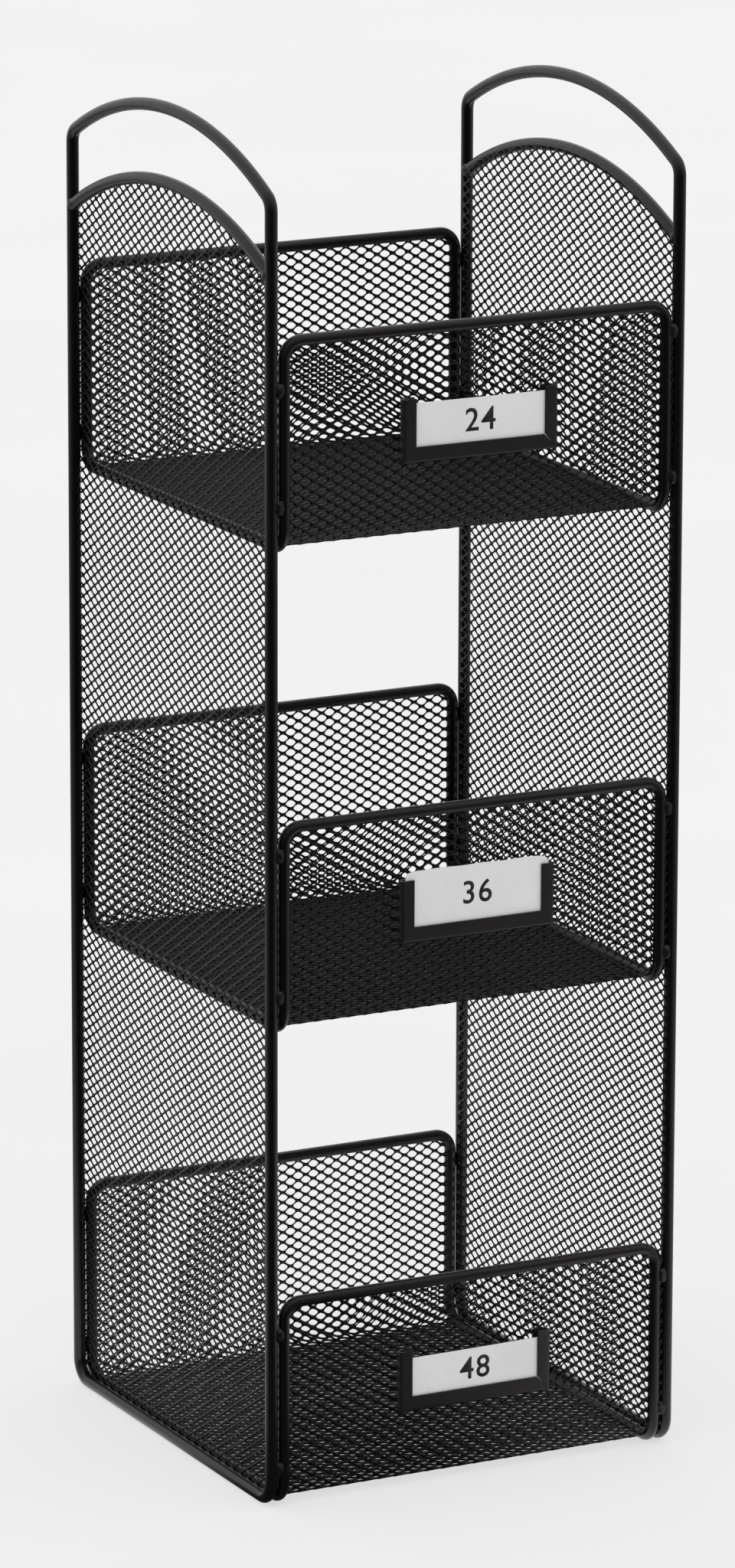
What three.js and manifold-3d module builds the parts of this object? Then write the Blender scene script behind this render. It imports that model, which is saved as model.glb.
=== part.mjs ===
// Three-tray tower organizer of bent steel wire and expanded-metal mesh.
// Millimetres, +Z up. The origin is on the table under the middle of the tower; the tray fronts face -Y.

import * as THREE from 'three';
import { mergeVertices } from 'three/addons/utils/BufferGeometryUtils.js';
import Module from 'manifold-3d';

const wasm = await Module();
wasm.setup();

// ---------------------------------------------------------------- driving dimensions

const HEIGHT = 457.2; // table to the top of the handles
const POST = 74.15; // post centre lines from the middle plane, in X and in Y
const FRAME_WIRE = 4.1; // wire diameter of the side frames and arches
const RAIL_BEND = 7.0; // centre-line radius where a post turns into the bottom rail
const HANDLE_R = 156.0; // centre-line radius of the handle arch
const HANDLE_BEND = 5.5; // centre-line radius of the tight bend between post and handle
const ARCH_R = 154.5; // centre-line radius of the lower arch
const ARCH_DROP = 24.5; // lower arch apex below the handle apex
const ARCH_END = 71.9; // where the lower arch is cut off against the posts

const PANEL_T = 0.5; // expanded-metal stock
const PANEL_X = 71.77; // middle plane of a side panel, between post and tray upright
const PANEL_HALF = 73.7; // half length of a side panel, front to back
const PANEL_Y = { left: 0.4, right: -1.6 }; // middle of each panel: neither is quite centred
const PANEL_BOTTOM = 0.8;
const PANEL_CORNER = 7.6; // rounding of its lower corners, inside the rail bend
const PANEL_UNDER_ARCH = 0.6; // upper edge of the panel below the arch centre line

const TRAY_WIRE = 3.8; // wire diameter of the tray frames
const TRAY_X = 69.6; // tray uprights from the middle plane
const TRAY_Y = 74.15; // front and back plane of the tray frame, in line with the posts
const TRAY_H = 72.0; // underside of the bottom rods to the top of the rim
const RIM_BEND = 6.0; // centre-line radius of the rim corners
const FOOT_BEND = 7.0; // centre-line radius where an upright turns into a bottom rod
const TRAY_Z = { bottom: 0, middle: 161, top: 321 }; // underside of each tray

const SHEET_HALF = 67.45; // half width of the U-folded tray mesh, between the uprights
const SHEET_Y = 73.65; // middle plane of its front and back walls
const SHEET_FLOOR = 2.2; // middle plane of its floor above the tray underside
const SHEET_FOLD = 5.6; // fold radius at the middle plane
const SHEET_TOP = 68.1; // upper edge, just under the rim wire
const SHEET_CORNER = 3.8; // rounding of the upper corners, inside the rim bends

const SLUG_W = 2.2; // weld slug, as it shows in the valley between post and tray upright
const SLUG_H = 4.3;
const SLUG_X = 71.8;
const SLUG_IN = 75.45; // its inner end and its face, from the middle plane
const SLUG_OUT = 76.7;
// heights of the slugs above the tray underside: [lower, upper]
const SLUG_Z = {
  bottom: { front_left: [13.3, 59.5], front_right: [13.1, 59.9], back_left: [13, 60], back_right: [13, 60] },
  middle: { front_left: [13.4, 60.9], front_right: [11.4, 60.7], back_left: [13, 60], back_right: [13, 60] },
  top: { front_left: [16.0, 54.2], front_right: [12.7, 61.4], back_left: [13, 60], back_right: [13, 60] },
};

const HOLDER_W = 56.3; // label holder, folded sheet
const HOLDER_H = 21.0;
const HOLDER_T = 0.7;
const HOLDER_BACK = -74.05; // rear face of the back plate
const HOLDER_FRONT = -77.45; // front face of the flanges
const HOLDER_Z = 26.8; // lower edge above the tray underside
const HOLDER_LIP = 5.2; // width of the back plate's two full-height edges, behind the side flanges
const PLATE_CUT = 4.0; // the back plate stops this far under the flanges, behind the card
const FLANGE_SIDE = 4.7; // visible width of the side flanges
const FLANGE_BOTTOM = 5.2; // visible height of the bottom flange
// open mitre at the lower right corner of the flanges; the others are closed
const MITRE_SLIT = { bottom: 0.5, middle: 0, top: 0.55 };

const CARD_W = 53.4;
const CARD_T = 0.35;
const CARD_Y = -76.38; // middle plane of the card, just behind the flanges
const CARD_LIFT = 0.9; // lower edge of the card above the lower edge of the holder
const CARD_H = { bottom: 17.6, middle: 23.0, top: 18.6 };

const BEND_STEPS = 6; // facets in a 90 degree bend
const ARC_STEPS = 22; // facets in a handle or arch

// ---------------------------------------------------------------- materials

const wirePaint = () => new THREE.MeshStandardMaterial({ color: 0x1c1b1b, roughness: 0.42, metalness: 0.3 });
const meshPaint = () => new THREE.MeshStandardMaterial({ color: 0x171616, roughness: 0.5, metalness: 0.3 });
const holderPaint = () => new THREE.MeshStandardMaterial({ color: 0x2a2929, roughness: 0.5, metalness: 0.25 });
const cardStock = () => new THREE.MeshStandardMaterial({ color: 0xdad8d7, roughness: 0.85, metalness: 0.0 });

// ---------------------------------------------------------------- helpers

// A closed mesh as a solid, in the coordinates of the geometry.
function solid(geometry) {
  const g = geometry.clone();
  g.deleteAttribute('normal');
  g.deleteAttribute('uv');
  const m = mergeVertices(g, 1e-4);
  return new wasm.Manifold(
    new wasm.Mesh({
      numProp: 3,
      vertProperties: new Float32Array(m.attributes.position.array),
      triVerts: new Uint32Array(m.index.array),
    }),
  );
}

function geometryOf(manifold) {
  const m = manifold.getMesh();
  const g = new THREE.BufferGeometry();
  const n = m.numProp;
  const count = m.vertProperties.length / n;
  const pos = new Float32Array(count * 3);
  for (let i = 0; i < count; i++) for (let k = 0; k < 3; k++) pos[3 * i + k] = m.vertProperties[n * i + k];
  g.setAttribute('position', new THREE.BufferAttribute(pos, 3));
  g.setIndex(Array.from(m.triVerts));
  g.computeVertexNormals();
  return g;
}

// Shape coordinates (X, Y, extrusion) become (Y, Z, X) of the object.
const SIDEWAYS = new THREE.Matrix4().makeBasis(
  new THREE.Vector3(0, 1, 0),
  new THREE.Vector3(0, 0, 1),
  new THREE.Vector3(1, 0, 0),
);
// Shape coordinates (X, Y, extrusion) become (X, Z, -Y) of the object.
const FRONTAL = new THREE.Matrix4().makeBasis(
  new THREE.Vector3(1, 0, 0),
  new THREE.Vector3(0, 0, 1),
  new THREE.Vector3(0, -1, 0),
);

function box(x0, x1, y0, y1, z0, z1) {
  const g = new THREE.BoxGeometry(x1 - x0, y1 - y0, z1 - z0);
  g.translate((x0 + x1) / 2, (y0 + y1) / 2, (z0 + z1) / 2);
  return g;
}

// Stations of a circular bend: centre, from direction a to direction b (unit vectors from the centre, b after a).
function bend(centre, a, b, radius, angle, steps) {
  const out = [];
  for (let i = 0; i <= steps; i++) {
    const w = (angle * i) / steps;
    const p = a.clone().multiplyScalar(Math.cos(w)).addScaledVector(b, Math.sin(w));
    const t = a.clone().multiplyScalar(-Math.sin(w)).addScaledVector(b, Math.cos(w));
    out.push({ p: p.multiplyScalar(radius).add(centre), t });
  }
  return out;
}

// A wire of eight flats along a closed chain of stations. `up` is a direction across the first station.
function closedWire(stations, diameter, up) {
  const sides = 8;
  const r = diameter / 2 / Math.cos(Math.PI / sides);
  const pos = [];
  const idx = [];
  let u = up.clone();
  let before = stations[0].t;
  for (const { p, t } of stations) {
    u.applyQuaternion(new THREE.Quaternion().setFromUnitVectors(before.clone().normalize(), t.clone().normalize()));
    const v = new THREE.Vector3().crossVectors(t, u).normalize();
    for (let k = 0; k < sides; k++) {
      const a = ((k + 0.5) / sides) * 2 * Math.PI;
      const q = p.clone().addScaledVector(u, r * Math.cos(a)).addScaledVector(v, r * Math.sin(a));
      pos.push(q.x, q.y, q.z);
    }
    before = t;
  }
  const n = stations.length;
  for (let i = 0; i < n; i++) {
    const j = (i + 1) % n;
    for (let k = 0; k < sides; k++) {
      const l = (k + 1) % sides;
      const [a, b, c, d] = [i * sides + k, i * sides + l, j * sides + l, j * sides + k];
      idx.push(a, b, c, a, c, d);
    }
  }
  const g = new THREE.BufferGeometry();
  g.setAttribute('position', new THREE.BufferAttribute(new Float32Array(pos), 3));
  g.setIndex(idx);
  g.computeVertexNormals();
  return g;
}

const X = new THREE.Vector3(1, 0, 0);
const Y = new THREE.Vector3(0, 1, 0);
const Z = new THREE.Vector3(0, 0, 1);
const neg = (v) => v.clone().negate();
const V = (x, y, z) => new THREE.Vector3(x, y, z);

function octagon(diameter) {
  const s = new THREE.Shape();
  const r = diameter / 2 / Math.cos(Math.PI / 8);
  for (let k = 0; k < 8; k++) {
    const a = ((k + 0.5) / 8) * 2 * Math.PI;
    if (k === 0) s.moveTo(r * Math.cos(a), r * Math.sin(a));
    else s.lineTo(r * Math.cos(a), r * Math.sin(a));
  }
  s.closePath();
  return s;
}

function node(name, geometry, material) {
  const m = new THREE.Mesh(geometry, material);
  m.name = name;
  return m;
}

// ---------------------------------------------------------------- side frames

const apexZ = HEIGHT - FRAME_WIRE / 2; // centre line of the handle at its top
const handleZ = apexZ - HANDLE_R; // centre of the handle arc
const railZ = FRAME_WIRE / 2;

// One closed loop in the plane x = 0: rail, back post, handle, front post.
function sideFrameGeometry() {
  const yc = POST - HANDLE_BEND;
  const zc = handleZ + Math.sqrt((HANDLE_R - HANDLE_BEND) ** 2 - yc ** 2);
  const turn = Math.atan2(zc - handleZ, yc); // direction of the tangent point, from +Y towards +Z
  const low = POST - RAIL_BEND;
  const stations = [
    // back end of the rail: from -Z side to +Y side
    ...bend(V(0, low, railZ + RAIL_BEND), neg(Z), Y, RAIL_BEND, Math.PI / 2, BEND_STEPS),
    // top of the back post
    ...bend(V(0, yc, zc), Y, Z, HANDLE_BEND, turn, BEND_STEPS),
  ];
  // the handle, from back to front
  const a0 = turn;
  const a1 = Math.PI - turn;
  for (let i = 1; i < ARC_STEPS; i++) {
    const a = a0 + ((a1 - a0) * i) / ARC_STEPS;
    stations.push({
      p: V(0, HANDLE_R * Math.cos(a), handleZ + HANDLE_R * Math.sin(a)),
      t: V(0, -Math.sin(a), Math.cos(a)),
    });
  }
  const front = bend(V(0, -yc, zc), neg(Y), Z, HANDLE_BEND, turn, BEND_STEPS).reverse();
  for (const s of front) stations.push({ p: s.p, t: neg(s.t) });
  const foot = bend(V(0, -low, railZ + RAIL_BEND), neg(Z), neg(Y), RAIL_BEND, Math.PI / 2, BEND_STEPS).reverse();
  for (const s of foot) stations.push({ p: s.p, t: neg(s.t) });
  return closedWire(stations, FRAME_WIRE, X);
}

const archApex = apexZ - ARCH_DROP;
const archZ = (y) => archApex - ARCH_R + Math.sqrt(ARCH_R ** 2 - y ** 2);

class ArchCurve extends THREE.Curve {
  getPoint(s, target = new THREE.Vector3()) {
    const half = Math.asin((ARCH_END + 4) / ARCH_R);
    const a = -half + 2 * half * s;
    return target.set(0, ARCH_R * Math.sin(a), archApex - ARCH_R + ARCH_R * Math.cos(a));
  }
}

// The lower arch: a bent wire cut off square against the posts.
function archGeometry() {
  const wire = new THREE.ExtrudeGeometry(octagon(FRAME_WIRE), {
    steps: ARC_STEPS,
    extrudePath: new ArchCurve(),
  });
  const between = box(-20, 20, -ARCH_END, ARCH_END, archApex - 60, archApex + 20);
  return geometryOf(solid(wire).intersect(solid(between)));
}

// Side panel in the plane x = 0: straight sides, arched top, rounded lower corners. `middle` is its place in Y.
function panelGeometry(middle) {
  const s = new THREE.Shape();
  const b = PANEL_HALF;
  const c = PANEL_CORNER;
  s.moveTo(-b + c, PANEL_BOTTOM);
  s.lineTo(b - c, PANEL_BOTTOM);
  for (let i = 1; i <= 5; i++) {
    const a = -Math.PI / 2 + ((Math.PI / 2) * i) / 5;
    s.lineTo(b - c + c * Math.cos(a), PANEL_BOTTOM + c + c * Math.sin(a));
  }
  const n = 24;
  for (let i = 0; i <= n; i++) {
    const y = b - (2 * b * i) / n;
    s.lineTo(y, archZ(y + middle) - PANEL_UNDER_ARCH);
  }
  for (let i = 0; i < 5; i++) {
    const a = Math.PI + ((Math.PI / 2) * i) / 5;
    s.lineTo(-b + c + c * Math.cos(a), PANEL_BOTTOM + c + c * Math.sin(a));
  }
  s.closePath();
  const g = new THREE.ExtrudeGeometry(s, { depth: PANEL_T, bevelEnabled: false });
  g.applyMatrix4(SIDEWAYS);
  g.translate(-PANEL_T / 2, 0, 0);
  return g;
}

// ---------------------------------------------------------------- trays

// One closed loop: front rim, right upright, right bottom rod, back rim, left bottom rod, left upright.
function trayFrameGeometry() {
  const r = TRAY_WIRE / 2;
  const rim = TRAY_H - r;
  const q = Math.PI / 2;
  const xr = TRAY_X - RIM_BEND;
  const zr = rim - RIM_BEND;
  const yf = TRAY_Y - FOOT_BEND;
  const zf = r + FOOT_BEND;
  const stations = [
    ...bend(V(xr, -TRAY_Y, zr), Z, X, RIM_BEND, q, BEND_STEPS),
    ...bend(V(TRAY_X, -yf, zf), neg(Y), neg(Z), FOOT_BEND, q, BEND_STEPS),
    ...bend(V(TRAY_X, yf, zf), neg(Z), Y, FOOT_BEND, q, BEND_STEPS),
    ...bend(V(xr, TRAY_Y, zr), X, Z, RIM_BEND, q, BEND_STEPS),
    ...bend(V(-xr, TRAY_Y, zr), Z, neg(X), RIM_BEND, q, BEND_STEPS),
    ...bend(V(-TRAY_X, yf, zf), Y, neg(Z), FOOT_BEND, q, BEND_STEPS),
    ...bend(V(-TRAY_X, -yf, zf), neg(Z), neg(Y), FOOT_BEND, q, BEND_STEPS),
    ...bend(V(-xr, -TRAY_Y, zr), neg(X), Z, RIM_BEND, q, BEND_STEPS),
  ];
  return closedWire(stations, TRAY_WIRE, Y);
}

// The U-folded mesh: front wall, floor and back wall in one sheet, with rounded upper corners.
function traySheetGeometry() {
  const h = PANEL_T / 2;
  const profile = (d) => {
    // the middle line shifted outwards by d, from the front upper edge to the back upper edge
    const pts = [];
    const R = SHEET_FOLD + d;
    const yc = SHEET_Y - SHEET_FOLD;
    const zc = SHEET_FLOOR + SHEET_FOLD;
    pts.push([-SHEET_Y - d, SHEET_TOP + 1]);
    for (let i = 0; i <= BEND_STEPS; i++) {
      const a = Math.PI + ((Math.PI / 2) * i) / BEND_STEPS;
      pts.push([-yc + R * Math.cos(a), zc + R * Math.sin(a)]);
    }
    for (let i = 0; i <= BEND_STEPS; i++) {
      const a = -Math.PI / 2 + ((Math.PI / 2) * i) / BEND_STEPS;
      pts.push([yc + R * Math.cos(a), zc + R * Math.sin(a)]);
    }
    pts.push([SHEET_Y + d, SHEET_TOP + 1]);
    return pts;
  };
  const outline = [...profile(h), ...profile(-h).reverse()];
  const s = new THREE.Shape();
  outline.forEach(([y, z], i) => (i === 0 ? s.moveTo(y, z) : s.lineTo(y, z)));
  s.closePath();
  const u = new THREE.ExtrudeGeometry(s, { depth: 2 * SHEET_HALF + 2, bevelEnabled: false });
  u.applyMatrix4(SIDEWAYS);
  u.translate(-SHEET_HALF - 1, 0, 0);

  const c = SHEET_CORNER;
  const f = new THREE.Shape();
  f.moveTo(-SHEET_HALF, -5);
  f.lineTo(SHEET_HALF, -5);
  for (let i = 0; i <= 5; i++) {
    const a = ((Math.PI / 2) * i) / 5;
    f.lineTo(SHEET_HALF - c + c * Math.cos(a), SHEET_TOP - c + c * Math.sin(a));
  }
  for (let i = 0; i <= 5; i++) {
    const a = Math.PI / 2 + ((Math.PI / 2) * i) / 5;
    f.lineTo(-SHEET_HALF + c + c * Math.cos(a), SHEET_TOP - c + c * Math.sin(a));
  }
  f.closePath();
  const front = new THREE.ExtrudeGeometry(f, { depth: 200, bevelEnabled: false });
  front.applyMatrix4(FRONTAL);
  front.translate(0, 100, 0);
  return geometryOf(solid(u).intersect(solid(front)));
}

// Weld slug for the corner (sx, sy): a wedge run down into the valley, clear of both wires, with rounded outline.
// X and Z are measured from its middle, Y from the middle plane of the tower.
function slugGeometry(sx, sy) {
  const w = SLUG_W / 2;
  const section = new THREE.Shape();
  section.moveTo(-0.2, SLUG_IN);
  section.lineTo(0.2, SLUG_IN);
  section.lineTo(w, SLUG_IN + 0.64);
  section.lineTo(w, SLUG_OUT);
  section.lineTo(-w, SLUG_OUT);
  section.lineTo(-w, SLUG_IN + 0.48);
  section.closePath();
  const wedge = new THREE.ExtrudeGeometry(section, { depth: SLUG_H, bevelEnabled: false });
  wedge.translate(0, 0, -SLUG_H / 2);

  const outline = new THREE.Shape();
  const c = 0.75;
  for (const [dx, dz, start] of [[1, -1, -0.5], [1, 1, 0], [-1, 1, 0.5], [-1, -1, 1]]) {
    for (let i = 0; i <= 2; i++) {
      const a = (start + i / 4) * Math.PI;
      const x = dx * (w - c) + c * Math.cos(a);
      const z = dz * (SLUG_H / 2 - c) + c * Math.sin(a);
      if (dx === 1 && dz === -1 && i === 0) outline.moveTo(x, z);
      else outline.lineTo(x, z);
    }
  }
  outline.closePath();
  const rounded = new THREE.ExtrudeGeometry(outline, { depth: 8, bevelEnabled: false });
  rounded.applyMatrix4(FRONTAL);
  rounded.translate(0, SLUG_OUT + 2, 0);
  return geometryOf(solid(wedge).intersect(solid(rounded)).scale([sx, sy, 1]));
}

// Label holder: back plate, three walls and three flanges folded from one sheet, open at the top.
function holderGeometry(opening) {
  const w = HOLDER_W / 2;
  const t = HOLDER_T;
  const z0 = HOLDER_Z;
  const z1 = HOLDER_Z + HOLDER_H;
  const yb = HOLDER_BACK;
  const yf = HOLDER_FRONT;
  const parts = [
    box(-w, w, yb - t, yb, z0, z1 - PLATE_CUT), // back plate
    box(-w, -w + HOLDER_LIP, yb - t, yb, z0, z1), // its left edge
    box(w - HOLDER_LIP, w, yb - t, yb, z0, z1), // its right edge
    box(-w, -w + t, yf, yb, z0, z1), // left wall
    box(w - t, w, yf, yb, z0, z1), // right wall
    box(-w, w, yf, yb, z0, z0 + t), // bottom wall
    box(-w, -w + FLANGE_SIDE, yf, yf + t, z0, z1), // left flange
    box(w - FLANGE_SIDE, w, yf, yf + t, z0, z1), // right flange
    box(-w, w, yf, yf + t, z0, z0 + FLANGE_BOTTOM), // bottom flange
  ].map(solid);
  let body = parts[0];
  for (const p of parts.slice(1)) body = body.add(p);
  if (opening > 0) {
    // the open mitre, from the inner corner of the window towards the outer corner
    const slit = new THREE.BoxGeometry(9, 3 * t, opening);
    slit.rotateY(Math.PI / 4);
    slit.translate(w - FLANGE_SIDE + 1.2, yf + t / 2, z0 + FLANGE_BOTTOM - 1.2);
    const limit = box(-w + 1.6, w - 1.6, yf - 1, yf + t + 0.2, z0 + 1.6, z0 + FLANGE_BOTTOM + 2);
    body = body.subtract(solid(slit).intersect(solid(limit)));
  }
  return geometryOf(body);
}

function cardGeometry(height) {
  const z0 = HOLDER_Z + CARD_LIFT;
  return box(-CARD_W / 2, CARD_W / 2, CARD_Y - CARD_T / 2, CARD_Y + CARD_T / 2, z0, z0 + height);
}

// ---------------------------------------------------------------- assembly

const organizer = new THREE.Group();

for (const [name, side] of [['left', -1], ['right', 1]]) {
  const g = new THREE.Group();
  g.position.x = side * POST;
  g.add(node(`${name}_side_frame`, sideFrameGeometry(), wirePaint()));
  g.add(node(`${name}_lower_arch`, archGeometry(), wirePaint()));
  organizer.add(g);
  const panel = node(`${name}_mesh_panel`, panelGeometry(PANEL_Y[name]), meshPaint());
  panel.position.set(side * PANEL_X, PANEL_Y[name], 0);
  organizer.add(panel);
}

for (const level of ['bottom', 'middle', 'top']) {
  const tray = new THREE.Group();
  tray.position.z = TRAY_Z[level];
  tray.add(node(`${level}_tray_frame`, trayFrameGeometry(), wirePaint()));
  tray.add(node(`${level}_tray_mesh`, traySheetGeometry(), meshPaint()));
  tray.add(node(`${level}_label_holder`, holderGeometry(MITRE_SLIT[level]), holderPaint()));
  tray.add(node(`${level}_label_card`, cardGeometry(CARD_H[level]), cardStock()));
  for (const [corner, heights] of Object.entries(SLUG_Z[level])) {
    const sx = corner.endsWith('left') ? -1 : 1;
    const sy = corner.startsWith('front') ? -1 : 1;
    for (const [place, z] of [['lower', heights[0]], ['upper', heights[1]]]) {
      const slug = node(`${level}_weld_${corner}_${place}`, slugGeometry(sx, sy), wirePaint());
      slug.position.set(sx * SLUG_X, 0, z);
      tray.add(slug);
    }
  }
  organizer.add(tray);
}

export default organizer;
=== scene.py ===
"""Looks of the three-tray tower organizer: round painted wire, real expanded metal, folded label holders and paper cards.

Lengths are in millimetres until a mesh is made, in the same frame as the CAD: +Z up, origin on the table under the
middle of the tower, tray fronts towards -Y.
"""

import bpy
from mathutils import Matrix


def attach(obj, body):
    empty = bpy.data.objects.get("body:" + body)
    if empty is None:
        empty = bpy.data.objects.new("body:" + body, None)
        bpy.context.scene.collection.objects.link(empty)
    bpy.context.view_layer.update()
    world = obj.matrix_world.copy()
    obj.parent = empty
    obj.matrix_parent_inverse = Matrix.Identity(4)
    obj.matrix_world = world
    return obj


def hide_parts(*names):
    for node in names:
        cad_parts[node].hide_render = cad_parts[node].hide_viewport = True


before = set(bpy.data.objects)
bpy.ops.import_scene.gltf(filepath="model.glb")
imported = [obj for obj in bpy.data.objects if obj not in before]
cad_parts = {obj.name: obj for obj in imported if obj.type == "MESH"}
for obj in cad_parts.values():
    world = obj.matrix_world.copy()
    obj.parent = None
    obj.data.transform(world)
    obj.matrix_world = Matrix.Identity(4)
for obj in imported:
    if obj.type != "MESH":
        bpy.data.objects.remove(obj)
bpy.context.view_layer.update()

import math

import bmesh
import bpy
import numpy as np
from mathutils import Matrix, Vector

MM = 0.001

# ---------------------------------------------------------------- dimensions, as in the CAD

HEIGHT = 457.2
POST = 74.15
FRAME_WIRE = 4.18  # round, with the section area of the eight-sided wire in the CAD
RAIL_BEND = 7.0
HANDLE_R = 156.0
HANDLE_BEND = 5.5
ARCH_R = 154.5
ARCH_DROP = 24.5

PANEL_X = 71.77
PANEL_HALF = 73.7
PANEL_Y = {"left": 0.4, "right": -1.6}
PANEL_BOTTOM = 0.8
PANEL_CORNER = 7.6
PANEL_UNDER_ARCH = 0.6

TRAY_WIRE = 3.9  # the same
TRAY_X = 69.6
TRAY_Y = 74.15
TRAY_H = 72.0
RIM_BEND = 6.0
FOOT_BEND = 7.0
TRAY_Z = {"bottom": 0.0, "middle": 161.0, "top": 321.0}

SHEET_Y = 73.65
SHEET_FLOOR = 2.2
SHEET_FOLD = 5.6

SLUG_X = 71.8
SLUG_H = 4.3
SLUG_OUT = 76.7
SLUG_Z = {
    "bottom": {"front_left": (13.3, 59.5), "front_right": (13.1, 59.9), "back_left": (13, 60), "back_right": (13, 60)},
    "middle": {"front_left": (13.4, 60.9), "front_right": (11.4, 60.7), "back_left": (13, 60), "back_right": (13, 60)},
    "top": {"front_left": (16.0, 54.2), "front_right": (12.7, 61.4), "back_left": (13, 60), "back_right": (13, 60)},
}

HOLDER_W = 56.3
HOLDER_H = 21.0
HOLDER_T = 0.7
HOLDER_BACK = -74.05
HOLDER_FRONT = -77.45
HOLDER_Z = 26.8
HOLDER_LIP = 5.2
PLATE_CUT = 4.0
FLANGE_SIDE = 4.7
FLANGE_BOTTOM = 5.2

CARD_W = 53.4
CARD_T = 0.30
CARD_Y = -76.38
CARD_LIFT = 0.9
CARD_H = {"bottom": 17.6, "middle": 23.0, "top": 18.6}

# expanded metal: long and short way of a diamond, how full the corners of its hole are (1 is a plain diamond)
MESH_L = 5.95
MESH_S = 3.62
HOLE_FULL = 1.5
# size of a hole in its diamond, half thickness of a strand, lean of its edges
PANEL_MESH = (0.618, 0.32, 0.0)
TRAY_MESH = (0.62, 0.30, -0.36)

LEVELS = ("bottom", "middle", "top")

# ---------------------------------------------------------------- materials


def material(name):
    m = bpy.data.materials.new(name)
    m.use_nodes = True
    t = m.node_tree
    t.nodes.clear()
    out = t.nodes.new("ShaderNodeOutputMaterial")
    bsdf = t.nodes.new("ShaderNodeBsdfPrincipled")
    t.links.new(bsdf.outputs["BSDF"], out.inputs["Surface"])
    return m, t, bsdf


def noise_node(t, scale, detail=2.0, rough=0.5, seed=0.0):
    where = t.nodes.new("ShaderNodeTexCoord")
    move = t.nodes.new("ShaderNodeMapping")
    move.inputs["Location"].default_value = (seed, seed * 0.7, -seed * 1.3)
    n = t.nodes.new("ShaderNodeTexNoise")
    n.inputs["Scale"].default_value = scale
    n.inputs["Detail"].default_value = detail
    n.inputs["Roughness"].default_value = rough
    t.links.new(where.outputs["Object"], move.inputs["Vector"])
    t.links.new(move.outputs["Vector"], n.inputs["Vector"])
    return n.outputs["Fac"]


def spread(t, value, low, high, a, b):
    """value from low..high to a..b."""
    n = t.nodes.new("ShaderNodeMapRange")
    n.inputs["From Min"].default_value = low
    n.inputs["From Max"].default_value = high
    n.inputs["To Min"].default_value = a
    n.inputs["To Max"].default_value = b
    t.links.new(value, n.inputs["Value"])
    return n.outputs["Result"]


def two_colours(t, fac, dark, light):
    n = t.nodes.new("ShaderNodeValToRGB")
    n.color_ramp.elements[0].position = 0.30
    n.color_ramp.elements[0].color = (*dark, 1)
    n.color_ramp.elements[1].position = 0.72
    n.color_ramp.elements[1].color = (*light, 1)
    t.links.new(fac, n.inputs["Fac"])
    return n.outputs["Color"]


def bump(t, height, strength, distance, before=None):
    n = t.nodes.new("ShaderNodeBump")
    n.inputs["Strength"].default_value = strength
    n.inputs["Distance"].default_value = distance
    t.links.new(height, n.inputs["Height"])
    if before is not None:
        t.links.new(before, n.inputs["Normal"])
    return n.outputs["Normal"]


def powder_coat(name, dark, light, rough, peel, seed, shine=0.5):
    """Black powder coat: faint cloudiness in colour and gloss, orange peel, and a slightly warm shine."""
    m, t, bsdf = material(name)
    bsdf.inputs["Specular IOR Level"].default_value = shine
    bsdf.inputs["Specular Tint"].default_value = (1.0, 0.93, 0.90, 1.0)
    cloud = noise_node(t, 60.0, 4.0, 0.6, seed)
    t.links.new(two_colours(t, cloud, dark, light), bsdf.inputs["Base Color"])
    grain = noise_node(t, 420.0, 3.0, 0.55, seed + 3.1)
    t.links.new(spread(t, grain, 0.3, 0.7, rough[0], rough[1]), bsdf.inputs["Roughness"])
    peel_height = noise_node(t, 900.0, 1.5, 0.45, seed + 7.7)
    swell = noise_node(t, 170.0, 1.0, 0.4, seed + 1.9)
    first = bump(t, swell, 0.35, 0.00006)
    t.links.new(bump(t, peel_height, peel, 0.00003, first), bsdf.inputs["Normal"])
    return m


WIRE = powder_coat("black_wire_coat", (0.0016, 0.0014, 0.0014), (0.0028, 0.0025, 0.0024), (0.25, 0.33), 0.50, 0.0)
MESH = powder_coat("black_mesh_coat", (0.0020, 0.0018, 0.0018), (0.0034, 0.0031, 0.0030), (0.36, 0.46), 0.40, 11.0, 0.4)
FOLDED = powder_coat("black_sheet_coat", (0.0062, 0.0058, 0.0056), (0.0088, 0.0083, 0.0080), (0.36, 0.46), 0.60, 23.0)
WELD = powder_coat("black_weld_coat", (0.0030, 0.0027, 0.0026), (0.0060, 0.0055, 0.0053), (0.28, 0.40), 0.70, 31.0)


def card_stock():
    m, t, bsdf = material("white_card")
    fibre = noise_node(t, 900.0, 5.0, 0.65, 5.0)
    tint = noise_node(t, 45.0, 3.0, 0.5, 9.0)
    mix = t.nodes.new("ShaderNodeMix")
    mix.data_type = "RGBA"
    mix.inputs[0].default_value = 0.35
    t.links.new(two_colours(t, tint, (0.70, 0.69, 0.69), (0.78, 0.77, 0.775)), mix.inputs[6])
    t.links.new(two_colours(t, fibre, (0.66, 0.655, 0.65), (0.80, 0.795, 0.79)), mix.inputs[7])
    t.links.new(mix.outputs[2], bsdf.inputs["Base Color"])
    t.links.new(spread(t, fibre, 0.3, 0.7, 0.62, 0.78), bsdf.inputs["Roughness"])
    t.links.new(bump(t, fibre, 0.25, 0.00002), bsdf.inputs["Normal"])
    return m


def ink():
    m, t, bsdf = material("black_ink")
    soak = noise_node(t, 700.0, 4.0, 0.6, 2.0)
    t.links.new(two_colours(t, soak, (0.006, 0.006, 0.008), (0.016, 0.016, 0.019)), bsdf.inputs["Base Color"])
    t.links.new(spread(t, soak, 0.3, 0.7, 0.5, 0.65), bsdf.inputs["Roughness"])
    return m


CARD = card_stock()
INK = ink()

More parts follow.
